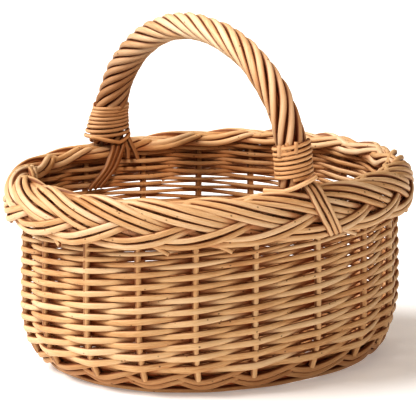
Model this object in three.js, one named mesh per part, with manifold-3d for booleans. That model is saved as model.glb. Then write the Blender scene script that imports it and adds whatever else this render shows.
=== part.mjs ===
// Oval willow shopping basket with a fixed roped bow handle.
// Millimetres, +Z up. The long axis is X and the handle crosses the short axis, Y.
// The origin is the centre of the underside, on the surface that the basket stands on.
// Touching pieces keep a gap of about 0.3 mm.

import * as THREE from 'three';
import { mergeVertices } from 'three/addons/utils/BufferGeometryUtils.js';
import Module from 'manifold-3d';

const wasm = await Module();
wasm.setup();

// ---- Driving dimensions ----

const GAP = 0.35;

// Plan of the basket: an oval a little fuller than an ellipse.
const PLAN_POWER = 2.2;
const RING_STEPS = 48;

// Wall: half sizes of the oval on which the stakes stand, and how it draws in at the foot.
const WALL_HALF_LENGTH = 195;
const WALL_HALF_WIDTH = 161;
const WALL_LEAN = 3.4;
const FOOT_INSET_LENGTH = 30.5;
const FOOT_INSET_WIDTH = 20;
const FOOT_HEIGHT = 70;
const FOOT_POWER = 2.3;

// Stakes.
const STAKE_COUNT = 19;
const STAKE_RADIUS = 2.8;
const STAKE_PHASE = 0.3;
const STAKE_FOOT = 23;
const STAKE_TOP = 152;

// Siding: as many rods as stakes, side by side, each climbing one row at every stake that it passes.
const SIDING_START = 31.3;
const SIDING_PITCH = 5.74;
const FIRST_ROW = -1;
const LAST_ROW = 20.5;
const ROD_SPACE = 0.7;
const WEAVE_DEPTH = 6.5;

// Plaited border.
const RIM_HEIGHT = 200;
const RIM_HALF_LENGTH = 197.5;
const RIM_HALF_WIDTH = 157.5;
const BORDER_OUT = 18.5;
const BORDER_IN = 15;
const BORDER_DEPTH = 47.5;

// Base.
const WALE_HEIGHT = 20.5;
const WALE_OUT = 8;
const WALE_IN = 7;
const FLOOR_LOW = 5.9;
const FLOOR_HIGH = 11;
const STICK_RADIUS = 2.4;
const STICK_HEIGHT = 3.2;
const STICK_SPACE = 12;
const CROSS_SPACE = 42;

// Handle.
const HANDLE_X = -16;
const HANDLE_HALF_SPAN = 155;
const HANDLE_RISE = 142;
const BOW_RADIUS = 4.8;
const BOW_FOOT = 162;
const STRAND_COUNT = 8;
const STRAND_RADIUS = 3;
const STRAND_ORBIT = 8.4;
const STRAND_TURNS = 3;
const STRAND_STEPS = 54;
const STRAND_FOOT = 203;
const BINDING_WALL = 4.4;
const BACK_BINDING = [202, 240];
const FRONT_BINDING = [210, 249];
const TAIL_WIDTH = 16;
const TAIL_THICKNESS = 4.4;

// ---- Materials ----

const willow = (color, roughness) => new THREE.MeshStandardMaterial({ color, roughness, metalness: 0 });
const WEAVER = willow(0xcf9a5e, 0.6);
const STAKE = willow(0xb98149, 0.62);
const PLAIT = willow(0xdcae76, 0.55);
const BASE = willow(0xb27c48, 0.65);
const ROPE = willow(0xd9a870, 0.55);
const BINDING = willow(0xc8935a, 0.58);

// ---- Helpers ----

const basket = new THREE.Group();

function add(name, geometry, material) {
  const mesh = new THREE.Mesh(geometry, material);
  mesh.name = name;
  basket.add(mesh);
}

const signedPower = (value, power) => Math.sign(value) * Math.abs(value) ** power;

// A point of an oval of the given half sizes at an angle, grown outwards by an offset.
function ovalPoint(halfLength, halfWidth, angle, offset, z) {
  const x = (halfLength + offset) * signedPower(Math.cos(angle), 2 / PLAN_POWER);
  const y = (halfWidth + offset) * signedPower(Math.sin(angle), 2 / PLAN_POWER);
  return new THREE.Vector3(x, y, z);
}

// Half sizes of the wall's oval at a height.
function wallSize(z) {
  const inset = Math.max(0, 1 - z / FOOT_HEIGHT) ** FOOT_POWER;
  const lean = (WALL_LEAN * z) / RIM_HEIGHT;
  return {
    halfLength: WALL_HALF_LENGTH - lean - FOOT_INSET_LENGTH * inset,
    halfWidth: WALL_HALF_WIDTH - lean - FOOT_INSET_WIDTH * inset,
  };
}

// A point of the wall, offset level and outwards from the line of the stakes.
function wallPoint(angle, offset, z) {
  const { halfLength, halfWidth } = wallSize(z);
  return ovalPoint(halfLength, halfWidth, angle, offset, z);
}

// The direction that runs up the slope of the wall at a point.
function wallUp(angle, z) {
  return wallPoint(angle, 0, z + 1).sub(wallPoint(angle, 0, z - 1)).normalize();
}

// The direction square to the wall's slope at a point, facing out.
function wallOut(angle, z) {
  const { halfLength, halfWidth } = wallSize(z);
  const x = signedPower(Math.cos(angle), 2 - 2 / PLAN_POWER) / halfLength;
  const y = signedPower(Math.sin(angle), 2 - 2 / PLAN_POWER) / halfWidth;
  const level = new THREE.Vector3(x, y, 0).normalize();
  const up = wallUp(angle, z);
  return level.addScaledVector(up, -level.dot(up)).normalize();
}

const rimPoint = (angle, offset, z) => ovalPoint(RIM_HALF_LENGTH, RIM_HALF_WIDTH, angle, offset, z);

// A curve whose samples fall exactly where its own formula puts them.
class RodPath extends THREE.Curve {
  constructor(pointAt, upAt) {
    super();
    this.pointAt = pointAt;
    this.upAt = upAt;
  }

  getPoint(t) {
    return this.pointAt(t);
  }

  getPointAt(t) {
    return this.pointAt(t);
  }

  getTangentAt(t) {
    return this.getTangent(t);
  }

  // The section's first axis stays along the given direction instead of turning freely.
  computeFrenetFrames(steps) {
    const frames = { tangents: [], normals: [], binormals: [] };
    for (let i = 0; i <= steps; i += 1) {
      const tangent = this.getTangent(i / steps);
      const binormal = new THREE.Vector3().crossVectors(tangent, this.upAt(i / steps)).normalize();
      frames.tangents.push(tangent);
      frames.binormals.push(binormal);
      frames.normals.push(new THREE.Vector3().crossVectors(binormal, tangent));
    }
    return frames;
  }
}

// A regular polygon as a rod's section.
function roundSection(radius, sides, turn = 0) {
  const shape = new THREE.Shape();
  for (let i = 0; i < sides; i += 1) {
    const angle = (i / sides) * 2 * Math.PI + turn;
    const place = i === 0 ? 'moveTo' : 'lineTo';
    shape[place](radius * Math.cos(angle), radius * Math.sin(angle));
  }
  shape.closePath();
  return shape;
}

// A rectangular section: height along the path's up direction, width across it.
function flatSection(height, width) {
  const shape = new THREE.Shape();
  shape.moveTo(-height / 2, -width / 2);
  shape.lineTo(height / 2, -width / 2);
  shape.lineTo(height / 2, width / 2);
  shape.lineTo(-height / 2, width / 2);
  shape.closePath();
  return shape;
}

function sweep(section, path, steps) {
  return new THREE.ExtrudeGeometry(section, { steps, extrudePath: path, curveSegments: 1 });
}

// A closed ring: a profile of [offset, height] points turned round the oval given by a point function.
function ovalRing(profile, pointOf) {
  const outline = [...profile, profile[0]].map(([offset, z]) => new THREE.Vector2(1000 + offset, z));
  const geometry = new THREE.LatheGeometry(outline, RING_STEPS);
  const position = geometry.attributes.position;
  for (let i = 0; i < position.count; i += 1) {
    const angle = Math.atan2(position.getZ(i), position.getX(i));
    const offset = Math.hypot(position.getX(i), position.getZ(i)) - 1000;
    const point = pointOf(angle, offset, position.getY(i));
    position.setXYZ(i, point.x, point.y, point.z);
  }
  return solid(geometry);
}

// Weld a geometry into one closed surface that faces outwards.
function solid(geometry) {
  geometry.deleteAttribute('normal');
  geometry.deleteAttribute('uv');
  const welded = mergeVertices(geometry, 1e-4);
  const position = welded.attributes.position;
  const index = welded.index.array;
  const kept = [];
  let volume = 0;
  for (let i = 0; i < index.length; i += 3) {
    const [a, b, c] = [index[i], index[i + 1], index[i + 2]];
    if (a !== b && b !== c && c !== a) {
      const corner = [a, b, c].map((k) => new THREE.Vector3().fromBufferAttribute(position, k));
      volume += corner[0].dot(corner[1].cross(corner[2]));
      kept.push(a, b, c);
    }
  }
  if (volume < 0) {
    for (let i = 0; i < kept.length; i += 3) {
      [kept[i], kept[i + 1]] = [kept[i + 1], kept[i]];
    }
  }
  welded.setIndex(kept);
  welded.computeVertexNormals();
  return welded;
}

function toManifold(geometry) {
  const closed = solid(geometry);
  const vertProperties = new Float32Array(closed.attributes.position.array);
  const triVerts = new Uint32Array(closed.index.array);
  return new wasm.Manifold(new wasm.Mesh({ numProp: 3, vertProperties, triVerts }));
}

function fromManifold(manifold) {
  const mesh = manifold.getMesh();
  const geometry = new THREE.BufferGeometry();
  geometry.setAttribute('position', new THREE.BufferAttribute(new Float32Array(mesh.vertProperties), 3));
  geometry.setIndex(new THREE.BufferAttribute(new Uint32Array(mesh.triVerts), 1));
  geometry.computeVertexNormals();
  return geometry;
}

const number = (i) => String(i + 1).padStart(2, '0');

// ---- Stakes ----

const stakeAngle = (place) => ((place + STAKE_PHASE) / STAKE_COUNT) * 2 * Math.PI;

function stake(i) {
  const heightAt = (t) => STAKE_FOOT + (STAKE_TOP - STAKE_FOOT) * t ** 1.5;
  const path = new RodPath((t) => wallPoint(stakeAngle(i), 0, heightAt(t)), () => new THREE.Vector3(1, 0, 0));
  return sweep(roundSection(STAKE_RADIUS, 6), path, 8);
}

for (let i = 0; i < STAKE_COUNT; i += 1) {
  add(`stake_${number(i)}`, stake(i), STAKE);
}

// ---- Siding ----

// A siding rod that belongs to one stake: outside the stakes at even rows and inside them at odd rows.
function sidingRod(i) {
  const steps = (LAST_ROW - FIRST_ROW) * 2;
  const thickness = SIDING_PITCH - ROD_SPACE;
  const rowAt = (t) => FIRST_ROW + t * (LAST_ROW - FIRST_ROW);
  const angleAt = (t) => stakeAngle(i + rowAt(t));
  const heightAt = (t) => SIDING_START + SIDING_PITCH * rowAt(t);
  const path = new RodPath((t) => {
    const point = wallPoint(angleAt(t), 0, heightAt(t));
    const offset = WEAVE_DEPTH * Math.cos(Math.PI * rowAt(t));
    return point.addScaledVector(wallOut(angleAt(t), heightAt(t)), offset);
  }, (t) => wallUp(angleAt(t), heightAt(t)));
  return sweep(flatSection(thickness, thickness), path, steps);
}

for (let i = 0; i < STAKE_COUNT; i += 1) {
  add(`siding_rod_${number(i)}`, sidingRod(i), WEAVER);
}

// ---- Bottom wale and base ----

const waleProfile = [
  [-WALE_IN + 1, 0],
  [WALE_OUT - 1.5, 0],
  [WALE_OUT + 0.5, 4],
  [WALE_OUT, 9],
  [WALE_OUT + 0.5, 14],
  [WALE_OUT - 1, WALE_HEIGHT],
  [-WALE_IN + 1, WALE_HEIGHT],
  [-WALE_IN, WALE_HEIGHT / 2],
];
add('bottom_wale', ovalRing(waleProfile, wallPoint), BASE);

// An oval plate that fills the wale at the height of the floor.
function baseWeave() {
  const inWale = (angle) => wallPoint(angle, -WALE_IN - 2, FLOOR_LOW / 2);
  const disc = new THREE.CylinderGeometry(1, 1, FLOOR_HIGH - FLOOR_LOW, RING_STEPS);
  const position = disc.attributes.position;
  for (let i = 0; i < position.count; i += 1) {
    const reach = Math.hypot(position.getX(i), position.getZ(i));
    const edge = inWale(Math.atan2(position.getZ(i), position.getX(i)));
    const z = position.getY(i) + (FLOOR_LOW + FLOOR_HIGH) / 2;
    position.setXYZ(i, edge.x * reach, edge.y * reach, z);
  }
  return solid(disc);
}

add('base_weave', baseWeave(), BASE);

// The slath: long sticks and cross sticks that pass through each other under the weave.
function stick(length, alongX, shift) {
  const rod = new THREE.CylinderGeometry(STICK_RADIUS, STICK_RADIUS, length, 6);
  if (alongX) {
    rod.rotateZ(Math.PI / 2);
    rod.translate(0, shift, STICK_HEIGHT);
  } else {
    rod.translate(shift, 0, STICK_HEIGHT);
  }
  return toManifold(rod);
}

function slath() {
  const room = WALE_IN + 4;
  let frame = stick(2 * (wallPoint(0, -room, 0).x), true, 0);
  for (const shift of [-STICK_SPACE, STICK_SPACE]) {
    frame = frame.add(stick(2 * (wallPoint(0, -room, 0).x - 2), true, shift));
  }
  for (const shift of [-2, -1, 0, 1, 2].map((k) => k * CROSS_SPACE)) {
    const angle = Math.acos(signedPower(shift / wallPoint(0, -room, 0).x, PLAN_POWER / 2));
    frame = frame.add(stick(2 * (wallPoint(angle, -room, 0).y - 2), false, shift));
  }
  return fromManifold(frame);
}

add('base_slath', slath(), STAKE);

// ---- Handle ----

// A point of the handle's centre line: an upright half oval that carries on straight down at its feet.
function handlePoint(angle) {
  const y = -HANDLE_HALF_SPAN * Math.cos(angle);
  const z = RIM_HEIGHT + HANDLE_RISE * Math.sin(angle);
  return new THREE.Vector3(HANDLE_X, y, z);
}

function handleOut(angle) {
  return new THREE.Vector3(0, -HANDLE_RISE * Math.cos(angle), HANDLE_HALF_SPAN * Math.sin(angle)).normalize();
}

const alongHandle = () => new THREE.Vector3(1, 0, 0);

// The bow: legs down into the border, joined by the arch.
function bow() {
  const legSteps = 1;
  const archSteps = 22;
  const steps = archSteps + 2 * legSteps;
  const path = new RodPath((t) => {
    const step = t * steps - legSteps;
    const angle = THREE.MathUtils.clamp((step / archSteps) * Math.PI, 0, Math.PI);
    const point = handlePoint(angle);
    const past = Math.max(-step, step - archSteps, 0);
    point.z -= (past / legSteps) * (RIM_HEIGHT - BOW_FOOT);
    return point;
  }, alongHandle);
  return sweep(roundSection(BOW_RADIUS, 8), path, steps);
}

add('handle_bow', bow(), STAKE);

// A rod of the rope, wound round the bow from foot to foot.
function strand(i) {
  const startAngle = Math.asin((STRAND_FOOT - RIM_HEIGHT) / HANDLE_RISE);
  const path = new RodPath((t) => {
    const angle = startAngle + t * (Math.PI - 2 * startAngle);
    const turn = (i / STRAND_COUNT + STRAND_TURNS * t) * 2 * Math.PI;
    const point = handlePoint(angle);
    point.addScaledVector(handleOut(angle), STRAND_ORBIT * Math.cos(turn));
    point.x += STRAND_ORBIT * Math.sin(turn);
    return point;
  }, alongHandle);
  return sweep(roundSection(STRAND_RADIUS, 5), path, STRAND_STEPS);
}

for (let i = 0; i < STRAND_COUNT; i += 1) {
  add(`handle_strand_${i + 1}`, strand(i), ROPE);
}

// A binding: a sleeve of turns round the foot of the handle, wider at the bottom.
function binding(side, [low, high]) {
  const inner = STRAND_ORBIT + STRAND_RADIUS + GAP + 1.4;
  const outer = inner + BINDING_WALL;
  const lean = (z) => HANDLE_HALF_SPAN * (1 - Math.sqrt(1 - ((z - RIM_HEIGHT) / HANDLE_RISE) ** 2));
  const levels = [0, 1, 2, 3].map((k) => low + ((high - low) * k) / 3);
  const outside = levels.map((z, k) => [outer + 1.5 - 0.6 * k, z]);
  const inside = levels.map((z) => [inner, z]).reverse();
  const outline = [...outside, ...inside, outside[0]];
  const sleeve = new THREE.LatheGeometry(outline.map(([r, z]) => new THREE.Vector2(r, z)), 16);
  sleeve.rotateX(Math.PI / 2);
  const position = sleeve.attributes.position;
  for (let i = 0; i < position.count; i += 1) {
    const z = position.getZ(i);
    const shift = side * (HANDLE_HALF_SPAN - lean(z));
    position.setXYZ(i, position.getX(i) + HANDLE_X, position.getY(i) + shift, z);
  }
  return solid(sleeve);
}

add('handle_binding_front', binding(-1, FRONT_BINDING), BINDING);
add('handle_binding_back', binding(1, BACK_BINDING), BINDING);

// ---- Plaited border ----

const borderLow = RIM_HEIGHT - BORDER_DEPTH;
const borderProfile = [
  [-BORDER_IN, borderLow],
  [BORDER_OUT - 5, borderLow],
  [BORDER_OUT - 1, borderLow + 9],
  [BORDER_OUT, borderLow + 21],
  [BORDER_OUT - 2.5, borderLow + 34],
  [BORDER_OUT - 9, RIM_HEIGHT - 3],
  [0, RIM_HEIGHT],
  [-BORDER_IN + 7, RIM_HEIGHT - 3],
  [-BORDER_IN + 1, RIM_HEIGHT - 12],
];

// The border's ring, with a socket for each foot of the bow.
function border() {
  let ring = toManifold(ovalRing(borderProfile, rimPoint));
  for (const side of [-1, 1]) {
    const socket = new THREE.CylinderGeometry(BOW_RADIUS + GAP, BOW_RADIUS + GAP, 60, 8, 1);
    socket.rotateX(Math.PI / 2);
    socket.translate(HANDLE_X, side * HANDLE_HALF_SPAN, BOW_FOOT - GAP + 30);
    ring = ring.subtract(toManifold(socket));
  }
  return fromManifold(ring);
}

add('plaited_border', border(), PLAIT);

// ---- Tails of the handle rods ----

// The front tail: a flat bundle laid slanting over the outside of the border.
function frontTail() {
  const path = new RodPath((t) => {
    const angle = -Math.PI / 2 + 0.02 + 0.2 * t;
    const offset = BORDER_OUT - 5 * (1 - t) ** 3 + TAIL_THICKNESS / 2 + 1.9;
    return rimPoint(angle, offset, RIM_HEIGHT - 6 - 42 * t);
  }, () => new THREE.Vector3(0, -1, 0.1));
  return sweep(flatSection(TAIL_THICKNESS, TAIL_WIDTH), path, 8);
}

add('handle_tail_front', frontTail(), ROPE);

// The back tail: a bundle that bends along the inside of the wall below the back foot.
function backTail() {
  const clear = GAP + 1.2 + TAIL_THICKNESS / 2;
  const path = new RodPath((t) => {
    const angle = Math.PI / 2 + 0.07 + 0.24 * t;
    return rimPoint(angle, -BORDER_IN - clear, RIM_HEIGHT - 4 - 42 * t);
  }, () => new THREE.Vector3(0, -1, 0.1));
  return sweep(flatSection(TAIL_THICKNESS, TAIL_WIDTH * 0.75), path, 6);
}

add('handle_tail_back', backTail(), ROPE);

export default basket;
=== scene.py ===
"""Looks of an oval willow basket, with every rod woven, plaited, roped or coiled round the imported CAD."""
import math
import bpy
import numpy as np
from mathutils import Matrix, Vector


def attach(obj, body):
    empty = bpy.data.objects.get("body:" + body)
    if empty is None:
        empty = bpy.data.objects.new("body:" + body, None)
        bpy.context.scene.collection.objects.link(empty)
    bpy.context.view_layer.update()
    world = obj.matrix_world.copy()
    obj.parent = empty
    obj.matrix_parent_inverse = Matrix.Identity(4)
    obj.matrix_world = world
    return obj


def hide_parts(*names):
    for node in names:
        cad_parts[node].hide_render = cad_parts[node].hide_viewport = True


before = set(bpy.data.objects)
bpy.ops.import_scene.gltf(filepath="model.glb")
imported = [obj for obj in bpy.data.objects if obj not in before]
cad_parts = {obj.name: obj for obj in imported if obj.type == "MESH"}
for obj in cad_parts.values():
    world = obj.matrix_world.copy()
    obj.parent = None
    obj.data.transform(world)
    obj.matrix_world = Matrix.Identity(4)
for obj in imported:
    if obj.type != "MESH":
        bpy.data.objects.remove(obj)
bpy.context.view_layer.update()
RANDOM = np.random.default_rng(7)

# ---- Sizes, in millimetres along the CAD's axes ----

MM = 0.001
PLAN_POWER = 2.2

WALL_HALF = np.array([195.5, 161.5])
WALL_LEAN = 3.4
FOOT_INSET = np.array([31.0, 20.0])
FOOT_HEIGHT = 70.0
FOOT_POWER = 2.3

STAKES = 19
STAKE_PHASE = 0.3
STAKE_RADIUS = 3.4
STAKE_FOOT = 18.0
STAKE_TOP = 188.0
STAKE_OUT = 2.2

SIDING_START = 31.3
SIDING_ROWS = 21
EVEN_ROWS = 17
LOW_PITCH = 5.74
TOP_PITCH = 4.2
SIDING_THICKNESS = 0.80
SIDING_NESTING = 0.6
SIDING_TILT = 0.4
SIDING_BEND = 0.975
# Rows above this height lie behind the border.
SIDING_TOP = 150.0
# The heights over which rows grow thinner towards the border, and the first rows, which start out fuller.
THINNER_HEIGHTS = [122.0, 142.0]
FULLER_ROWS = [0.0, 6.0]
# Where the weave is looser, as an angle round the basket and as the heights where that comes and goes.
LOOSE_MIDDLE = 1.15
LOOSE_REACH = 0.6
LOOSE_HEIGHTS = [112.0, 126.0, 148.0, 153.0]

RIM = 200.0
RIM_HALF = np.array([197.5, 157.5])
PLAIT_RADIUS = 3.3

WALE_RADIUS = 3.4
LINING_RADIUS = 2.9
BASE_RADIUS = 2.7
BASE_HEIGHT = 7.6
BASE_INSET = 6.5
BASE_WAVE = 2.5
STICK_SPACE = 12.0
STICK_HEIGHT = 6.2
CROSS_SPACE = 42.0
CROSS_HEIGHT = 7.4

HANDLE_X = -16.0
HANDLE_SPAN = 155.0
HANDLE_RISE = 139.5
BOW_RADIUS = 6.0
STRANDS = 8
STRAND_TURNS = 3.0
COIL_STEPS = 40
TAIL_RADIUS = 2.5

ACROSS = np.array([1.0, 0, 0])
UPRIGHT = np.array([0, 0, 1.0])

# ---- Plan, wall and rim ----


def signed_power(value, power):
    """A power that keeps the sign."""
    return np.sign(value) * np.abs(value) ** power


def oval(half, angle, offset=0.0):
    """x and y on an oval of these half sizes (..., 2) at an angle, grown by an offset."""
    x = (half[..., 0] + offset) * signed_power(np.cos(angle), 2 / PLAN_POWER)
    y = (half[..., 1] + offset) * signed_power(np.sin(angle), 2 / PLAN_POWER)
    return x, y


def wall_half(z):
    """The half sizes of the wall's oval at a height."""
    z = np.asarray(z, float)[..., None]
    inset = np.clip(1 - z / FOOT_HEIGHT, 0, None) ** FOOT_POWER
    return WALL_HALF - WALL_LEAN * z / RIM - FOOT_INSET * inset


def wall(angle, z):
    """A point on the line of the stakes."""
    x, y = oval(wall_half(z), angle)
    return np.stack([x, y, z + 0 * x], -1)


def unit(v):
    """Vectors (..., 3) brought to a length of 1."""
    return v / np.linalg.norm(v, axis=-1, keepdims=True)


def level_out(angle, half):
    """The level direction out of an oval."""
    x = signed_power(np.cos(angle), 2 - 2 / PLAN_POWER) / half[..., 0]
    y = signed_power(np.sin(angle), 2 - 2 / PLAN_POWER) / half[..., 1]
    return unit(np.stack([x, y, 0 * x], -1))


def wall_frame(angle, z):
    """The directions up the wall's slope and square out of it."""
    up = unit(wall(angle, z + 1) - wall(angle, z - 1))
    out = level_out(angle, wall_half(z))
    out = unit(out - up * np.sum(out * up, -1, keepdims=True))
    return up, out


def flow(x, knots):
    """A smooth curve through knots (x, y)."""
    xs, ys = np.array(knots, float).T
    slope = np.gradient(ys, xs)
    i = np.clip(np.searchsorted(xs, x, side="right") - 1, 0, len(xs) - 2)
    width = xs[i + 1] - xs[i]
    t = np.clip((x - xs[i]) / width, 0, 1)
    rise = t * t * (3 - 2 * t)
    start = t * (1 - t) ** 2 * width * slope[i]
    end = t * t * (1 - t) * width * slope[i + 1]
    return ys[i] * (1 - rise) + ys[i + 1] * rise + start - end


def even_flow(t, values):
    """A smooth curve through values spaced evenly from 0 to 1."""
    return flow(t, list(zip(np.linspace(0, 1, len(values)), values)))


def stake_angle(place):
    """The angle round the basket at a place counted in stakes."""
    return (place + STAKE_PHASE) / STAKES * 2 * math.pi


def siding_height(row):
    """Rows lie evenly at first, then closer and closer towards the border."""
    late = np.clip(row - EVEN_ROWS, 0, None)
    closing = np.clip(late, None, SIDING_ROWS - EVEN_ROWS)
    slowing = (LOW_PITCH - TOP_PITCH) / (SIDING_ROWS - EVEN_ROWS)
    height = SIDING_START + LOW_PITCH * (row - late) + LOW_PITCH * closing - slowing * closing ** 2 / 2
    return height + TOP_PITCH * (late - closing)


# ---- Rods ----

# A rod's cut end: how far its small last ring stands past it, and that ring's share of the rod's width.
BEVEL_REACH = 0.25
BEVEL_SHARE = 0.72
# Samples along a short rod.
SHORT_STEPS = 24


def smooth_noise(count, spacing, amount):
    """A seeded gentle wander along a rod."""
    knots = max(3, int(count / spacing) + 3)
    values = RANDOM.normal(0, amount, knots)
    t = np.linspace(0, knots - 1.001, count)
    i = t.astype(int)
    f = t - i
    f = f * f * (3 - 2 * f)
    return values[i] * (1 - f) + values[np.minimum(i + 1, knots - 1)] * f


def carried_frames(points):
    """Side and up directions carried along a path without turning."""
    tangent = unit(np.gradient(points, axis=0))
    up = np.empty_like(points)
    start = UPRIGHT if abs(tangent[0, 2]) < 0.8 else ACROSS
    up[0] = unit(start - tangent[0] * np.dot(start, tangent[0]))
    for i in range(1, len(points)):
        u = up[i - 1] - tangent[i] * np.dot(up[i - 1], tangent[i])
        up[i] = u / np.linalg.norm(u)
    return tangent, up


def beside(points, out):
    """The direction beside a path that lies on a surface facing out."""
    return np.cross(unit(np.gradient(points, axis=0)), out)


def rod(points, radius, up=None, tall=1.0, thick=1.0, taper=0.0, wobble=0.0, shade=(0.0, 0.0), gap_shade=0.0):
    """One rod: its centre line, its radius, and how tall and thick it is along and square to its up
    direction. Its shade is how much painted shade its two faces, ahead of and behind its side direction,
    get where they lie deep between other rods or out of the light, and its gap shade how much painted
    shade its other two sides get."""
    points = np.array(points, float)
    count = len(points)
    tangent, carried = carried_frames(points)
    if up is None:
        up = carried
    else:
        up = unit(up - tangent * np.sum(up * tangent, -1, keepdims=True))
    side = np.cross(tangent, up)
    radius = np.broadcast_to(radius, (count,)) * np.linspace(1 + taper, 1 - taper, count)
    radius = radius * (1 + smooth_noise(count, 14, 0.025))
    if wobble:
        points = points + up * smooth_noise(count, 18, wobble)[:, None]
        points = points + side * smooth_noise(count, 18, wobble * 0.6)[:, None]
    faces = np.stack([np.broadcast_to(value, (count,)) for value in (*shade, gap_shade)], -1)
    return {
        "points": points,
        "up": up * (radius * tall)[:, None],
        "side": side * (radius * thick)[:, None],
        "shade": np.clip(faces, 0, 1),
    }


def rod_rings(r, theta):
    """A rod's rings of points, with a smaller one past each end that gives its cut a small bevel."""
    points = r["points"]
    ring = np.cos(theta)[None, :, None] * r["up"][:, None] + np.sin(theta)[None, :, None] * r["side"][:, None]
    tangent = unit(np.gradient(points, axis=0))
    first = points[0] - tangent[0] * BEVEL_REACH + ring[0] * BEVEL_SHARE
    last = points[-1] + tangent[-1] * BEVEL_REACH + ring[-1] * BEVEL_SHARE
    return np.concatenate([[first], points[:, None] + ring, [last]])


def ring_shades(r, theta):
    """How much painted shade each point of a rod's rings gets from the rod's shade and gap shade."""
    facing = np.sin(theta)
    sides = np.clip(1.6 * np.abs(np.cos(theta)) - 0.6, 0, 1)
    deep = r["shade"][:, :1] * np.clip(facing, 0, 1) + r["shade"][:, 1:2] * np.clip(-facing, 0, 1)
    deep = np.maximum(deep, r["shade"][:, 2:] * sides)
    return np.concatenate([deep[:1], deep, deep[-1:]])


def rods_object(name, rods, material, sides=10):
    """One mesh of several rods. UVs run along each rod in decimetres, and round it. A second UV layer holds
    the painted shade of each point."""
    theta = np.arange(sides) / sides * 2 * math.pi
    verts, faces, uvs, shades = [], [], [], []
    base = 0
    for r in rods:
        rings = rod_rings(r, theta)
        deep = ring_shades(r, theta)
        verts.append(rings.reshape(-1, 3))
        steps = np.linalg.norm(np.diff(r["points"], axis=0), axis=1)
        along = np.concatenate([[0, 0], np.cumsum(steps), [steps.sum()]]) / 100.0
        along = along + RANDOM.uniform(0, 40)
        around = RANDOM.integers(0, 400)
        for i in range(len(rings) - 1):
            a = base + i * sides
            b = a + sides
            for k in range(sides):
                k2 = (k + 1) % sides
                v0 = around + k / sides
                v1 = around + (k + 1) / sides
                faces.append((a + k, b + k, b + k2, a + k2))
                uvs.extend([(along[i], v0), (along[i + 1], v0), (along[i + 1], v1), (along[i], v1)])
                corners = (deep[i, k], deep[i + 1, k], deep[i + 1, k2], deep[i, k2])
                shades.extend((value, 0) for value in corners)
        last = base + (len(rings) - 1) * sides
        faces.append(tuple(base + k for k in range(sides)))
        faces.append(tuple(last + k for k in reversed(range(sides))))
        uvs.extend([(along[0], around + 0.5)] * sides + [(along[-1], around + 0.5)] * sides)
        shades.extend([(0, 0)] * sides * 2)
        base += len(rings) * sides
    mesh = bpy.data.meshes.new(name)
    mesh.from_pydata((np.concatenate(verts) * MM).tolist(), [], faces)
    for layer_name, values in (("UVMap", uvs), ("Shade", shades)):
        layer = mesh.uv_layers.new(name=layer_name)
        layer.data.foreach_set("uv", np.array(values, float).ravel())
    mesh.polygons.foreach_set("use_smooth", [len(p.vertices) == 4 for p in mesh.polygons])
    mesh.materials.append(material)
    mesh.update()
    piece = bpy.data.objects.new(name, mesh)
    bpy.context.scene.collection.objects.link(piece)
    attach(piece, "root")
    return piece


def place_rods(name, rods, material, node, sides=10):
    """Rods as one piece that replaces a node of the CAD."""
    piece = rods_object(name, rods, material, sides)
    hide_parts(node)


# ---- Willow material ----


KNOT_COLOUR = (0.10, 0.035, 0.012, 1)
# Painted shade colour for the creases where rods touch.
CREASE_SHADE_COLOUR = (0.25, 0.062, 0.013, 1)
# Colours that the painted shade of the Shade layer darkens towards.
RED_SHADE = (0.58, 0.20, 0.06)
BROWN_SHADE = (0.38, 0.22, 0.11)


def node(tree, kind, inputs=None, **settings):
    """A shader node with its settings, its constants and its links."""
    n = tree.nodes.new(kind)
    for key, value in settings.items():
        setattr(n, key, value)
    for key, value in (inputs or {}).items():
        if isinstance(value, bpy.types.NodeSocket):
            tree.links.new(value, n.inputs[key])
        else:
            n.inputs[key].default_value = value
    return n


def math_node(tree, operation, *values):
    """The output of a Math node."""
    return node(tree, "ShaderNodeMath", dict(enumerate(values)), operation=operation).outputs[0]


def ranged(tree, value, low, high, to_low, to_high, **settings):
    """A value brought from one range to another."""
    inputs = {"Value": value, "From Min": low, "From Max": high, "To Min": to_low, "To Max": to_high}
    return node(tree, "ShaderNodeMapRange", inputs, **settings).outputs["Result"]


def mixed(tree, factor, a, b, **settings):
    """The colour of a Mix node."""
    inputs = {"Factor": factor, "A": a, "B": b}
    return node(tree, "ShaderNodeMix", inputs, data_type="RGBA", **settings).outputs["Result"]


def stretched(tree, uv, scale):
    """The rod's UVs, stretched along it and round it."""
    return node(tree, "ShaderNodeMapping", {"Vector": uv, "Scale": scale}).outputs["Vector"]


def streaks(tree, uv):
    """Fine streaks: noise drawn out along the rod."""
    inputs = {"Vector": stretched(tree, uv, (2.2, 5.0, 1.0)), "Scale": 3.0, "Detail": 6.0, "Roughness": 0.62}
    return node(tree, "ShaderNodeTexNoise", inputs).outputs["Fac"]


def rod_colour(tree, uv, around, streak, dark, mid, light):
    """A tone of its own for each rod, with a slow change along it and the streaks."""
    inputs = {"Vector": stretched(tree, uv, (0.9, 0.35, 1.0)), "Scale": 1.3, "Detail": 2.0, "Roughness": 0.5}
    slow = node(tree, "ShaderNodeTexNoise", inputs).outputs["Fac"]
    number = math_node(tree, "FLOOR", around)
    own = node(tree, "ShaderNodeTexWhiteNoise", {"W": number}, noise_dimensions="1D").outputs["Value"]
    tone = math_node(tree, "MULTIPLY_ADD", own, 0.45, slow)
    tone = math_node(tree, "ADD", tone, streak)
    ramp = node(tree, "ShaderNodeValToRGB", {"Fac": ranged(tree, tone, 0.70, 1.75, 0.0, 1.0)})
    ramp.color_ramp.elements[0].color = (*dark, 1)
    ramp.color_ramp.elements[1].color = (*light, 1)
    middle = ramp.color_ramp.elements.new(0.45)
    middle.color = (*mid, 1)
    return ramp.outputs["Color"]


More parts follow.
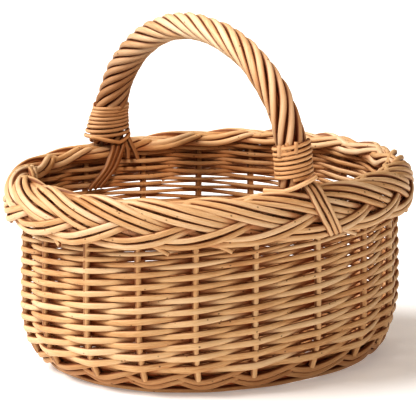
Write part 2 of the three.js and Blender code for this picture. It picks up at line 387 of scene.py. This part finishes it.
def knot_specks(tree, uv, strength):
    """Knots: sparse dark specks with a soft halo."""
    inputs = {"Vector": stretched(tree, uv, (11.0, 2.6, 1.0)), "Scale": 1.0}
    cells = node(tree, "ShaderNodeTexVoronoi", inputs)
    place = {"Vector": cells.outputs["Position"]}
    chance = node(tree, "ShaderNodeTexWhiteNoise", place, noise_dimensions="3D").outputs["Value"]
    seldom = math_node(tree, "GREATER_THAN", chance, 0.35)
    speck = ranged(tree, cells.outputs["Distance"], 0.06, 0.15, 1.0, 0.0)
    speck = math_node(tree, "MULTIPLY", speck, seldom)
    return math_node(tree, "MULTIPLY", speck, 0.75 * strength)


def side_crease_shade(tree, around, strength):
    """Painted shade in the creases: the two sides of the rod that face its neighbours, half a turn apart, are
    darkened.
    """
    part = math_node(tree, "MULTIPLY", around, 4 * math.pi)
    side = math_node(tree, "COSINE", part)
    return ranged(tree, side, 0.15, 1.0, 0.0, strength, interpolation_type="SMOOTHSTEP")


def willow(name, dark, mid, light, roughness=0.48, knots=1.0, crease_shade=0.8, shade=RED_SHADE):
    """Peeled, steamed willow, with painted shade in the creases between rods and where a rod lies deep among
    others.
    """
    material = bpy.data.materials.new(name)
    material.use_nodes = True
    tree = material.node_tree
    shader = tree.nodes["Principled BSDF"]
    uv = node(tree, "ShaderNodeUVMap", uv_map="UVMap").outputs["UV"]
    around = node(tree, "ShaderNodeSeparateXYZ", {"Vector": uv}).outputs["Y"]
    shade_uv = node(tree, "ShaderNodeUVMap", uv_map="Shade").outputs["UV"]
    depth = node(tree, "ShaderNodeSeparateXYZ", {"Vector": shade_uv}).outputs["X"]

    streak = streaks(tree, uv)
    speck = knot_specks(tree, uv, knots)
    colour = rod_colour(tree, uv, around, streak, dark, mid, light)
    colour = mixed(tree, speck, colour, KNOT_COLOUR)
    # Painted shade in the creases between rods.
    colour = mixed(tree, side_crease_shade(tree, around, crease_shade), colour, CREASE_SHADE_COLOUR, blend_type="MULTIPLY")
    # Painted shade from the Shade layer, where a rod lies deep among others or out of the light.
    colour = mixed(tree, depth, colour, (*shade, 1), blend_type="MULTIPLY")
    tree.links.new(colour, shader.inputs["Base Color"])

    shine = ranged(tree, streak, 0.3, 0.7, roughness - 0.08, roughness + 0.12)
    tree.links.new(shine, shader.inputs["Roughness"])
    height = math_node(tree, "ADD", streak, speck)
    bump = node(tree, "ShaderNodeBump", {"Height": height, "Strength": 0.28, "Distance": 0.0006})
    tree.links.new(bump.outputs["Normal"], shader.inputs["Normal"])
    shader.inputs["Specular IOR Level"].default_value = 0.3
    return material


SIDING = willow("willow_siding", (0.45, 0.205, 0.075), (0.69, 0.45, 0.24), (0.82, 0.63, 0.42))
STAKE = willow("willow_stake", (0.42, 0.20, 0.08), (0.66, 0.41, 0.21), (0.82, 0.60, 0.37), crease_shade=0.6)
PLAIT = willow("willow_plait", (0.49, 0.25, 0.10), (0.70, 0.46, 0.255), (0.83, 0.65, 0.46))
ROPE = willow("willow_rope", (0.50, 0.28, 0.13), (0.76, 0.54, 0.34), (0.87, 0.72, 0.54),
              shade=BROWN_SHADE)
THIN = willow("willow_binding", (0.50, 0.26, 0.11), (0.72, 0.465, 0.26), (0.83, 0.63, 0.42),
              knots=0.6, crease_shade=0.7, shade=BROWN_SHADE)
# The wale and the base use a darker copy of the willow, painted shade for their place low down by the floor.
BASE_SHADED = willow("willow_base_shaded", (0.30, 0.12, 0.04), (0.48, 0.26, 0.12), (0.62, 0.41, 0.22))


# ---- Stakes and siding ----

# How tall a siding rod is for its row, from inside the stakes (-1) to outside (1).
SIDING_TALL = [(-1, 1.18), (-0.5, 1.08), (0, 1.04), (0.5, 1.10), (0.85, 1.18), (1, 1.20)]


def make_stakes():
    """The upright stakes, a little outside the middle of the weave."""
    count = 40
    for i in range(STAKES):
        z = STAKE_FOOT + (STAKE_TOP - STAKE_FOOT) * np.linspace(0, 1, count) ** 1.3
        angle = stake_angle(i + RANDOM.normal(0, 0.012)) + smooth_noise(count, 12, 0.002)
        up, out = wall_frame(angle, z)
        points = wall(angle, z) + out * STAKE_OUT
        name = f"stake_{i + 1:02d}"
        place_rods(f"willow_{name}", [rod(points, STAKE_RADIUS, wobble=0.25)], STAKE, name)


def siding_fullness(row, swing, angle, z):
    """How tall a siding rod is for its row: pressed on by its neighbours between the stakes and fuller at
    them, fuller near the foot, where the wall slopes out, and thinner towards the border."""
    tall = flow(swing, SIDING_TALL)
    tall = tall * np.where(z < SIDING_TOP, np.interp(z, THINNER_HEIGHTS, (1.0, 0.9)), 1.05)
    tall = tall * np.interp(row, FULLER_ROWS, (1.16, 1.0))
    # Looser on the far side below the border, where light shows through the weave.
    far = np.exp(-((np.mod(angle, 2 * math.pi) - LOOSE_MIDDLE) / LOOSE_REACH) ** 2)
    high = np.interp(z, LOOSE_HEIGHTS, (0, 1, 1, 0))
    return tall * (1 - 0.3 * far * high)


def siding_rod(stake, first, last):
    """A woven rod that starts at a stake and climbs one row at each stake that it passes, outside the
    stakes at even rows and inside them at odd rows."""
    samples = 12
    row = np.linspace(first, last, int((last - first) * samples) + 1)
    angle = stake_angle(stake + row)
    z = siding_height(row)
    pitch = siding_height(row + 0.5) - siding_height(row - 0.5)
    up, out = wall_frame(angle, z)
    # Rows follow the slope of the wall, so near the foot they lie farther apart than their heights say.
    pitch = pitch / up[:, 2]
    swing = np.cos(math.pi * row)
    depth = STAKE_RADIUS + pitch / 2 * SIDING_THICKNESS * SIDING_NESTING
    # Straight from stake to stake, bent close round each stake, and a little higher outside than inside.
    bend = np.arcsin(SIDING_BEND * swing) / math.asin(SIDING_BEND)
    points = wall(angle, z) + out * (bend * depth)[:, None] + up * (bend * SIDING_TILT)[:, None]
    tall = siding_fullness(row, swing, angle, z)
    # Painted shade on the faces that lie back between other rods, outside and inside, with a little extra on
    # the inner faces for the shade inside the basket.
    shade = (-1.1 * bend - 0.2, 0.25 * bend + 0.22)
    return rod(points, pitch / 2, up=up, tall=tall, thick=SIDING_THICKNESS, taper=0.05, wobble=0.25,
               shade=shade)


def make_siding():
    """One rod for each stake, all climbing round the basket together."""
    for i in range(STAKES):
        name = f"siding_rod_{i + 1:02d}"
        place_rods(f"willow_{name}", [siding_rod(i, -1.1, SIDING_ROWS + 0.1)], SIDING, name)


def make_upper_siding():
    """The rows that the plait hides from outside, seen on the inside of the wall."""
    rods = [siding_rod(i, SIDING_ROWS - 0.3, SIDING_ROWS + 9.6) for i in range(STAKES)]
    place_rods("upper_siding_rods", rods, SIDING, "plaited_border")


# ---- Plaited border ----

# Cross-section of the face that the plait covers, from inside the rim over the crest to the lower outer
# edge, as (offset out from the rim, height).
FACE = np.array([
    [-11.5, 182.0], [-10.8, 187.5], [-8.2, 192.3], [-3.5, 195.0], [2.5, 194.8],
    [8.0, 191.0], [12.0, 184.0], [14.2, 175.0], [14.0, 164.5], [11.8, 155.0],
])
FACE_STEPS = np.concatenate([[0], np.cumsum(np.linalg.norm(np.diff(FACE, axis=0), axis=1))])
FACE_WIDTH = FACE_STEPS[-1]

# Course of one stake's group of rods, as (stakes along the rim, distance across the face).
PLAIT_COURSE = [
    (-2.5, 29), (-2.1, 19), (-1.65, 11), (-1.2, 7.5), (-0.75, 10.5), (-0.3, 17), (0.1, 24), (0.5, 31),
    (1.0, 41), (1.5, 50.5), (1.95, 58), (2.35, 62.5), (2.8, 63), (3.3, 57.5), (3.7, 50.5), (4.0, 44),
    (4.3, 37),
]
# How far the group stands above the middle of the plait along that course.
PLAIT_LAYER = [
    (-2.5, -7), (-2.1, -0.4), (-1.7, 2.0), (-1.25, 0.8), (-0.8, -2.4), (-0.3, -1.0), (0.2, 2.0), (0.9, 3.2),
    (1.25, 1.8), (1.6, -2.6), (2.1, -3.2), (2.5, -0.5), (2.9, 3.0), (3.4, 3.3), (3.65, 1.4), (3.9, -2.4),
    (4.3, -3.4),
]
# How closely the rods of a group lie, as a share of their width.
PLAIT_SPREAD = [(-2.5, 0.9), (-1.2, 0.9), (0.2, 1.0), (3.3, 1.0), (4.3, 0.85)]
# Between the middle two of these places a rod keeps its first shift, and beyond the outer two its second.
PLAIT_SHIFTS = [-0.8, 0.0, 1.5, 2.3]
# Where the first cut end comes out under the lower edge, as an angle round the rim.
BORDER_TIP = -2.065


def face_place(angle, across):
    """A point at a distance across the face."""
    offset = flow(across, list(zip(FACE_STEPS, FACE[:, 0])))
    z = flow(across, list(zip(FACE_STEPS, FACE[:, 1])))
    x, y = oval(np.broadcast_to(RIM_HALF, (*np.shape(angle), 2)), angle)
    point = np.stack([x, y, 0 * x], -1) + level_out(angle, RIM_HALF) * offset[..., None]
    point[..., 2] = z
    return point


def face_point(angle, across):
    """A point on the face, at a distance across it, with its outward direction."""
    across = np.clip(across, 0, FACE_WIDTH)
    reach = 2.5
    ahead = face_place(angle, np.clip(across + reach, 0, FACE_WIDTH))
    behind = face_place(angle, np.clip(across - reach, 0, FACE_WIDTH))
    level = level_out(angle, RIM_HALF)
    round_way = np.stack([-level[..., 1], level[..., 0], 0 * angle], -1)
    return face_place(angle, across), unit(np.cross(unit(ahead - behind), round_way))


def plait_rod(i, shift, radius, start, stop, sway, lift=0.0):
    """A rod of stake i's group, beside its middle by a number of widths on the face and by another beyond
    it. The group goes from inside the rim over the crest, down across the face under an earlier pair, along
    the lower edge and up again."""
    u = np.linspace(start, stop, int((stop - start) * 20) + 2)
    angle = stake_angle(i + u)
    across = flow(u, PLAIT_COURSE) + sway * np.sin(u * 1.7 + i) + smooth_noise(len(u), 25, 0.5)
    layer = flow(u, PLAIT_LAYER) + lift
    point, out = face_point(angle, across)
    side = unit(beside(point, out))
    over = unit(face_point(angle, across + 2)[0] - face_point(angle, across - 2)[0])
    slope = np.clip(np.abs(np.sum(side * over, -1)), 0.5, 1)
    on_face, beyond = shift
    spread = flow(u, PLAIT_SPREAD) * np.interp(u, PLAIT_SHIFTS, (beyond, on_face, on_face, beyond))
    point, out = face_point(angle, across + spread * radius * 2.0 / slope)
    points = point + out * layer[:, None]
    # Painted shade where the group passes under others.
    shade = np.clip((-0.5 - layer) / 3.5, 0, 0.5)
    return rod(points, radius, up=beside(points, out), thick=0.94, wobble=0.3, shade=(shade, shade))


def rim_rod(course, radius):
    """A rod on the plait's face through knots of (angle round the rim, distance across the face, height
    above it)."""
    t = np.linspace(0, 1, SHORT_STEPS)
    angle, across, layer = (even_flow(t, column) for column in zip(*course))
    point, out = face_point(angle, across)
    points = point + out * layer[:, None]
    return rod(points, radius, up=beside(points, out), wobble=0.15)


def inner_rod(course, radius, shade=0.0):
    """A rod beside the rim's oval through knots of (angle, height, distance in from it)."""
    t = np.linspace(0, 1, SHORT_STEPS)
    angle, z, inward = (even_flow(t, column) for column in zip(*course))
    x, y = oval(np.broadcast_to(RIM_HALF, (SHORT_STEPS, 2)), angle)
    out = level_out(angle, RIM_HALF)
    points = np.stack([x, y, z], -1) - out * inward[:, None]
    return rod(points, radius, up=beside(points, out), wobble=0.15, shade=(shade, shade))


def make_border():
    """A group of three rods for each stake, and at every second stake a cut end under the lower edge."""
    for i in range(STAKES):
        start = i + RANDOM.normal(0, 0.035)
        radius = PLAIT_RADIUS + RANDOM.normal(0, 0.08, 3)
        ends = RANDOM.normal(0, 0.07, 6)
        sway = RANDOM.normal(0, 1.0)
        rods = [
            plait_rod(start, (-1, -0.5), radius[0], -2.4 + ends[0], 4.2 + ends[1], sway),
            plait_rod(start, (0, 0.5), radius[1], -2.35 + ends[2], 4.15 + ends[3], sway),
            plait_rod(start, (1, 0.9), radius[2] * 0.93, -0.7 + ends[4], 1.85 + ends[5], sway, lift=-0.5),
        ]
        if i % 2 == 0:
            tip = BORDER_TIP + i / STAKES * 2 * math.pi
            course = [(tip - 0.05, 157, -8), (tip, 152, -9.5), (tip + 0.05, 147.5, -12)]
            rods.append(inner_rod(course, 2.3))
        place_rods(f"plait_group_{i + 1:02d}", rods, PLAIT, "plaited_border")


# ---- Bottom wale and base ----

# A wale rod's course over three stakes: it comes out from inside, dips under one stake's end, climbs
# outside and goes in behind the next stake. As (stakes, height) and (stakes, distance out from the stakes).
WALE_HEIGHT = [
    (-1.2, 23), (-0.7, 22.5), (-0.4, 20.7), (-0.18, 17.6), (0, 15.9), (0.18, 17.4), (0.42, 20.8), (0.7, 23.5),
    (1.0, 24.5), (1.8, 23),
]
WALE_OUT = [
    (-1.2, -5.5), (-0.7, -4.0), (-0.35, -0.5), (0, 2.3), (0.45, 3.2), (0.75, 0.2), (1.0, -5.0), (1.8, -5.5),
]
WALE_TALL = [(-1.2, 0.9), (-0.4, 0.95), (0, 1.12), (0.5, 1.05), (1.0, 0.9), (1.8, 0.9)]
# The wale's two rows, as how far each lies below that course and in from it.
WALE_ROWS = [(0.0, 0.0), (6.6, 0.8)]
# Plain rods along the wale, as (height, distance in from the stakes).
LININGS = [(3.3, 1.2), (8.0, 4.6), (13.5, 5.6), (19.5, 5.0)]


def wale_rod(first, strokes, drop, narrow):
    """A rod of one wale row, which starts at a stake and takes a stroke over every three stakes."""
    place = np.linspace(first - 1.15, first + 3 * (strokes - 1) + 1.75, strokes * 36)
    stroke = np.mod(place - first + 1.2, 3) - 1.2
    z = np.clip(flow(stroke, WALE_HEIGHT) - drop, 3.2, None)
    angle = stake_angle(place)
    up, out = wall_frame(angle, z)
    reach = flow(stroke, WALE_OUT)
    points = wall(angle, z) + out * (reach - narrow)[:, None]
    # Painted shade on the outer face where the rod goes in behind the stakes, and on its inner face.
    shade = (-0.35 - reach / 6, 0.3)
    return rod(points, WALE_RADIUS, up=up, tall=flow(stroke, WALE_TALL), thick=0.85, taper=0.03, wobble=0.2,
               shade=shade)


def make_wale():
    """Two rows of three rods each, a plain rod along the lower edge and three more inside."""
    rods = []
    for drop, narrow in WALE_ROWS:
        for first, strokes in ((0, 7), (1, 6), (2, 6)):
            rods.append(wale_rod(first, strokes, drop, narrow))
    place = np.linspace(0.3, STAKES + 0.9, STAKES * 12)
    angle = stake_angle(place)
    for height, inward in LININGS:
        z = height + 0.25 * np.sin(place * 5)
        up, out = wall_frame(angle, z)
        # Painted shade on the outer faces, more for linings that lie farther in.
        shade = ((inward - LININGS[0][1]) / 4, 0)
        rods.append(rod(wall(angle, z) - out * inward, LINING_RADIUS, up=up, wobble=0.1, shade=shade))
    place_rods("bottom_wale_rods", rods, BASE_SHADED, "bottom_wale")


def make_base():
    """An oval base: a rod woven round and round over long sticks and cross sticks."""
    half = wall_half(BASE_HEIGHT) - BASE_INSET
    core = np.array([half[0] - half[1] + 4, 0.0])
    spokes = 24
    rounds = 22
    turns = np.linspace(0, rounds, rounds * spokes * 5 + 1)
    angle = turns * 2 * math.pi
    grow = np.clip((turns + 1.2) / (rounds + 0.2), 0, 1)
    x, y = oval(core + (half - core) * grow[:, None], angle)
    z = BASE_HEIGHT + BASE_WAVE * np.cos(angle * spokes / 2 + math.pi * np.floor(turns))
    weave = rod(np.stack([x, y, z], -1), BASE_RADIUS)
    place_rods("base_weave_rod", [weave], BASE_SHADED, "base_weave", sides=8)

    sticks = []
    for shift in (-STICK_SPACE, 0.0, STICK_SPACE):
        x = np.linspace(-half[0] + 2, half[0] - 2, 30)
        points = np.stack([x, 0 * x + shift, 0 * x + STICK_HEIGHT], -1)
        sticks.append(rod(points, BASE_RADIUS, wobble=0.3))
    for shift in CROSS_SPACE * np.arange(-2, 3):
        reach = half[1] * math.sqrt(1 - (shift / half[0]) ** 2) - 1
        y = np.linspace(-reach, reach, 30)
        points = np.stack([0 * y + shift, y, 0 * y + CROSS_HEIGHT], -1)
        sticks.append(rod(points, BASE_RADIUS, wobble=0.3))
    place_rods("base_sticks", sticks, STAKE, "base_slath")


# ---- Handle ----

# Along the handle, from the front foot (0) to the back foot (1): how far it leans towards the back.
HANDLE_LEAN = [
    (0, 3.3), (0.1, 1.0), (0.25, -2.0), (0.5, 0.0), (0.7, 0.5), (0.85, -1.5), (0.93, -2.5), (1, 0.0),
]
# The reach of the rope's strands from its middle, along the basket and square to the arch. The rope flares
# at its feet.
ROPE_LONG = [
    (0, 13.5), (0.06, 13.2), (0.14, 12.2), (0.25, 11.0), (0.5, 9.7), (0.75, 11.4), (0.9, 13.2), (1, 15),
]
ROPE_DEEP = [(0, 11.0), (0.12, 10.8), (0.25, 10.6), (0.5, 9.7), (0.75, 11.2), (0.9, 12.0), (1, 12)]
# The strands' radius, and the painted shade on their faces and in the gaps between them, darkest on the legs.
ROPE_ROD = [(0, 3.5), (0.2, 3.75), (0.5, 3.75), (0.8, 4.0), (1, 4.0)]
ROPE_SHADE = [(0, 0.58), (0.2, 0.40), (0.38, 0.14), (0.6, 0.08), (0.8, 0.62), (1, 0.78)]
ROPE_GAP_SHADE = [(0, 1.0), (0.2, 0.95), (0.38, 0.25), (0.6, 0.1), (0.8, 0.95), (1, 1.0)]


def handle_line(t):
    """The handle's centre line, and the direction out of the arch."""
    angle = t * math.pi
    y = -HANDLE_SPAN * np.cos(angle) + flow(t, HANDLE_LEAN)
    points = np.stack([HANDLE_X + 0 * t, y, RIM + HANDLE_RISE * np.sin(angle)], -1)
    out = unit(np.stack([0 * t, -HANDLE_RISE * np.cos(angle), HANDLE_SPAN * np.sin(angle)], -1))
    return points, out


def make_handle():
    """The bow, and the strands roped round it."""
    points = handle_line(np.linspace(-0.02, 1.02, 120))[0]
    # The bow only shows through gaps in the rope, so it gets full painted shade.
    place_rods("willow_handle_bow", [rod(points, BOW_RADIUS, shade=(1, 1))], STAKE, "handle_bow")
    count = 280
    t = np.linspace(0.004, 0.996, count)
    points, out = handle_line(t)
    # The rope is wound tighter on the back half than on the front half, and lies looser near the front foot.
    turns = STRAND_TURNS * (t ** 1.35)
    loose = np.clip(1 - t / 0.35, 0.15, 1)
    shade = flow(t, ROPE_SHADE)
    for i in range(STRANDS):
        turn = (i / STRANDS + turns + 0.025 * loose * smooth_noise(count, 30, 1.0)) * 2 * math.pi
        lift = smooth_noise(count, 25, 1.1) * loose + smooth_noise(count, 12, 0.15)
        path = points + out * ((flow(t, ROPE_DEEP) + lift) * np.cos(turn))[:, None]
        path = path + ACROSS * ((flow(t, ROPE_LONG) + lift) * np.sin(turn))[:, None]
        round_way = ACROSS * np.cos(turn)[:, None] - out * np.sin(turn)[:, None]
        radius = flow(t, ROPE_ROD) + RANDOM.normal(0, 0.15)
        strand = rod(path, radius, up=round_way, taper=0.03, shade=(shade, shade), gap_shade=flow(t, ROPE_GAP_SHADE))
        name = f"handle_strand_{i + 1}"
        place_rods(f"rope_{name}", [strand], ROPE, name)


# ---- Bindings and tails at the handle's feet ----

# Directions to the right and towards the front for someone who looks at the front foot from the left.
FOOT_RIGHT = np.array([0.785, -0.62, 0])
FOOT_FRONT = np.array([-0.62, -0.785, 0])
# Cut ends over the front binding, as (place to the right, height, lean to the right, radius).
FRONT_TIPS = [
    (-13.5, 233, 2.0, 2.3), (-9.0, 234, -3.5, 2.1), (-5.5, 233, -3.0, 2.1), (-1.5, 235, -2.5, 2.2),
    (3.0, 236, 2.5, 2.2),
]


def foot_centres(side, heights):
    """Points on the handle's centre line at these heights above one foot."""
    angle = np.arcsin(np.clip((heights - RIM) / HANDLE_RISE, 0, 1))
    t = angle / math.pi if side < 0 else 1 - angle / math.pi
    return handle_line(t)[0]


def coil(centre, long, deep, start, slant, radius, shade):
    """A rod wound round a foot: its centres and reaches per step, its starting angle, its slant, its radius
    and the painted shade on its faces. Its sides get painted shade in the gaps between turns."""
    count = len(centre)
    turn = start - np.arange(count) / COIL_STEPS * 2 * math.pi
    dx = (long + smooth_noise(count, 20, 0.3)) * np.cos(turn)
    dy = (deep + smooth_noise(count, 20, 0.3)) * np.sin(turn)
    path = centre + np.stack([dx, dy, dx * slant[0] + dy * slant[1]], -1)
    path[:, 2] += smooth_noise(count, 16, 0.25)
    return rod(path, radius, up=UPRIGHT, shade=(shade, shade), gap_shade=0.6)


def make_front_binding():
    """A slanted coil with cut ends standing out of its top."""
    turns = 7.3
    s = np.linspace(0, 1, int(turns * COIL_STEPS))
    centre = foot_centres(-1, flow(s, [(0, 243.5), (0.07, 241), (1, 210.5)]))
    rods = [coil(centre, 18.6, 14.4, -0.5, (0.11, -0.09), 2.25, 0.0)]
    for right, low, lean, radius in FRONT_TIPS:
        high = low + 11.5 + RANDOM.uniform(-1.5, 1.5)
        path = foot_centres(-1, np.linspace(low, high, 6)) + FOOT_FRONT * 15.2
        path = path + FOOT_RIGHT * np.linspace(right, right + lean, 6)[:, None]
        # Painted shade on the cut ends.
        rods.append(rod(path, radius, up=FOOT_RIGHT, shade=(0.5, 0.5)))
    place_rods("binding_front_rods", rods, THIN, "handle_binding_front")


def make_back_binding():
    """A coil that flares downwards, and its last turn, which dips on the side that faces into the basket."""
    turns = 8.0
    s = np.linspace(0, 1, int(turns * COIL_STEPS))
    centre = foot_centres(1, flow(s, [(0, 241), (0.5, 226.5), (0.8, 216.5), (1, 208)]))
    long = flow(s, [(0, 18.0), (0.5, 20.0), (0.8, 22.5), (1, 24.5)])
    deep = flow(s, [(0, 14.0), (0.5, 15.5), (1, 17.0)])
    # Painted shade on the back coil's faces.
    rods = [coil(centre, long, deep, 2.6, (0.01, 0.01), 2.1, 0.3)]
    dip = np.linspace(-1, 1, 30)
    bulge = np.sqrt(np.clip(1.05 - dip ** 2, 0, 1))
    path = foot_centres(1, 208.0 + 0 * dip) + np.stack([24.0 * dip, -18.0 * bulge, 0 * dip], -1)
    path[:, 2] += -1.5 - 5.5 * (1 - np.abs(dip - 0.1)) + 1.5 * dip ** 2
    rods.append(rod(path, 2.3, up=UPRIGHT))
    place_rods("binding_back_rods", rods, THIN, "handle_binding_back")


def make_front_tail():
    """Three rods laid side by side over the plait, and the rod that crosses over their upper ends."""
    rods = []
    for k in range(3):
        shift = (k - 1) * 0.0255
        course = [
            (-1.590 + shift, 10, 5.0), (-1.592 + shift, 18, 8.4), (-1.588 + shift, 33, 8.8),
            (-1.553 + shift, 50, 8.4), (-1.508 + shift, 65.5 - k * 0.8, 7.6),
        ]
        rods.append(rim_rod(course, TAIL_RADIUS))
    t = np.linspace(0, 1, SHORT_STEPS)
    z = even_flow(t, (194.0, 198.5, 203.5, 209.0, 213.5))
    right = even_flow(t, (-30.0, -15.0, -1.0, 11.0, 21.0))
    front = even_flow(t, (13.0, 17.0, 19.0, 18.0, 11.0))
    path = foot_centres(-1, z) + FOOT_RIGHT * right[:, None] + FOOT_FRONT * front[:, None]
    rods.append(rod(path, 2.6, up=UPRIGHT))
    place_rods("tail_front_rods", rods, THIN, "handle_tail_front")


def make_back_tail():
    """Three rods that hang inside the basket from the back foot, and two short cut ends beside them."""
    rods = []
    for k in range(3):
        shift = (k - 1) * 0.03
        course = [
            (1.612 - shift, 203, 15), (1.625 - shift, 195, 18.5), (1.645 - shift, 185, 18.5),
            (1.68 - shift * 1.1, 172, 17.5), (1.765 - shift * 1.3, 155, 14),
        ]
        # Painted shade: the tails and cut ends hang inside the basket, out of the light.
        rods.append(inner_rod(course, TAIL_RADIUS, 1.0))
    rods.append(inner_rod([(1.585, 203, 15), (1.575, 194, 18.5), (1.571, 182, 19.5)], 2.3, 0.8))
    rods.append(inner_rod([(1.56, 203, 15), (1.548, 194, 18.5), (1.525, 180.5, 20.5)], 2.3, 0.8))
    place_rods("tail_back_rods", rods, THIN, "handle_tail_back")


# ---- Camera, floor and light ----

# The viewer's place, in degrees and metres.
VIEW_AZIMUTH = -38.3
VIEW_ELEVATION = 12.1
VIEW_TARGET = Vector((-0.002, 0.0015, 0.1523))
VIEW_DISTANCE = 3.438
# The middle of the far inside wall.
CARD_TARGET = Vector((0.045, 0.13, 0.13))
CARD_DISTANCE = 1.5
WARM_AIR = (1.0, 0.76, 0.54, 1)


def look_direction(azimuth, elevation):
    """From the target towards the viewer, for angles in degrees."""
    azimuth = math.radians(azimuth)
    elevation = math.radians(elevation)
    level = math.cos(elevation)
    return Vector((math.sin(azimuth) * level, -math.cos(azimuth) * level, math.sin(elevation)))


def stand(name, data, location, back):
    """An object in the scene that looks away from a direction."""
    thing = bpy.data.objects.new(name, data)
    thing.location = location
    thing.rotation_euler = back.to_track_quat("Z", "Y").to_euler()
    bpy.context.scene.collection.objects.link(thing)
    return thing


def make_camera():
    """A long lens that looks at the basket from the viewer's place."""
    back = look_direction(VIEW_AZIMUTH, VIEW_ELEVATION)
    data = bpy.data.cameras.new("camera")
    data.lens = 293.3
    data.sensor_width = 36
    data.clip_end = 20
    bpy.context.scene.camera = stand("camera", data, VIEW_TARGET + back * VIEW_DISTANCE, back)


def sun(name, azimuth, elevation, strength, spread):
    """A white sun with a soft edge."""
    data = bpy.data.lights.new(name, "SUN")
    data.energy = strength
    data.angle = math.radians(spread)
    direction = look_direction(azimuth, elevation)
    stand(name, data, direction * 2, direction)


def bounce_card():
    """A soft light over the front rim that reaches the inside of the far wall."""
    data = bpy.data.lights.new("bounce_card", "SPOT")
    data.energy = 68
    data.spot_size = math.radians(10.5)
    data.spot_blend = 1.0
    data.shadow_soft_size = 0.12
    data.color = (1.0, 0.80, 0.66)
    direction = look_direction(-28, 36)
    stand("bounce_card", data, CARD_TARGET + direction * CARD_DISTANCE, direction)


def make_floor():
    """Plain white paper that glows a little, so that shadows on it stay pale."""
    bpy.ops.mesh.primitive_plane_add(size=30, location=(0, 0, -0.0005))
    floor = bpy.context.object
    floor.name = "floor"
    paper = bpy.data.materials.new("floor_paper")
    paper.use_nodes = True
    shader = paper.node_tree.nodes["Principled BSDF"]
    shader.inputs["Base Color"].default_value = (0.95, 0.95, 0.95, 1)
    shader.inputs["Roughness"].default_value = 0.9
    shader.inputs["Emission Color"].default_value = (1.0, 1.0, 1.0, 1)
    shader.inputs["Emission Strength"].default_value = 0.2
    floor.data.materials.append(paper)


def make_studio():
    """Warm air, a key light from the left, a wide window beside it, the card and the floor."""
    scene = bpy.context.scene
    scene.view_settings.view_transform = "Standard"
    scene.view_settings.look = "High Contrast"
    world = bpy.data.worlds.new("studio")
    world.use_nodes = True
    background = world.node_tree.nodes["Background"]
    background.inputs["Color"].default_value = WARM_AIR
    background.inputs["Strength"].default_value = 0.17
    scene.world = world
    sun("key", -120, 48, 2.65, 40)
    sun("window", -95, 32, 0.68, 150)
    bounce_card()
    make_floor()


make_camera()
make_studio()
make_stakes()
make_siding()
make_upper_siding()
make_border()
make_wale()
make_base()
make_handle()
make_front_binding()
make_back_binding()
make_front_tail()
make_back_tail()
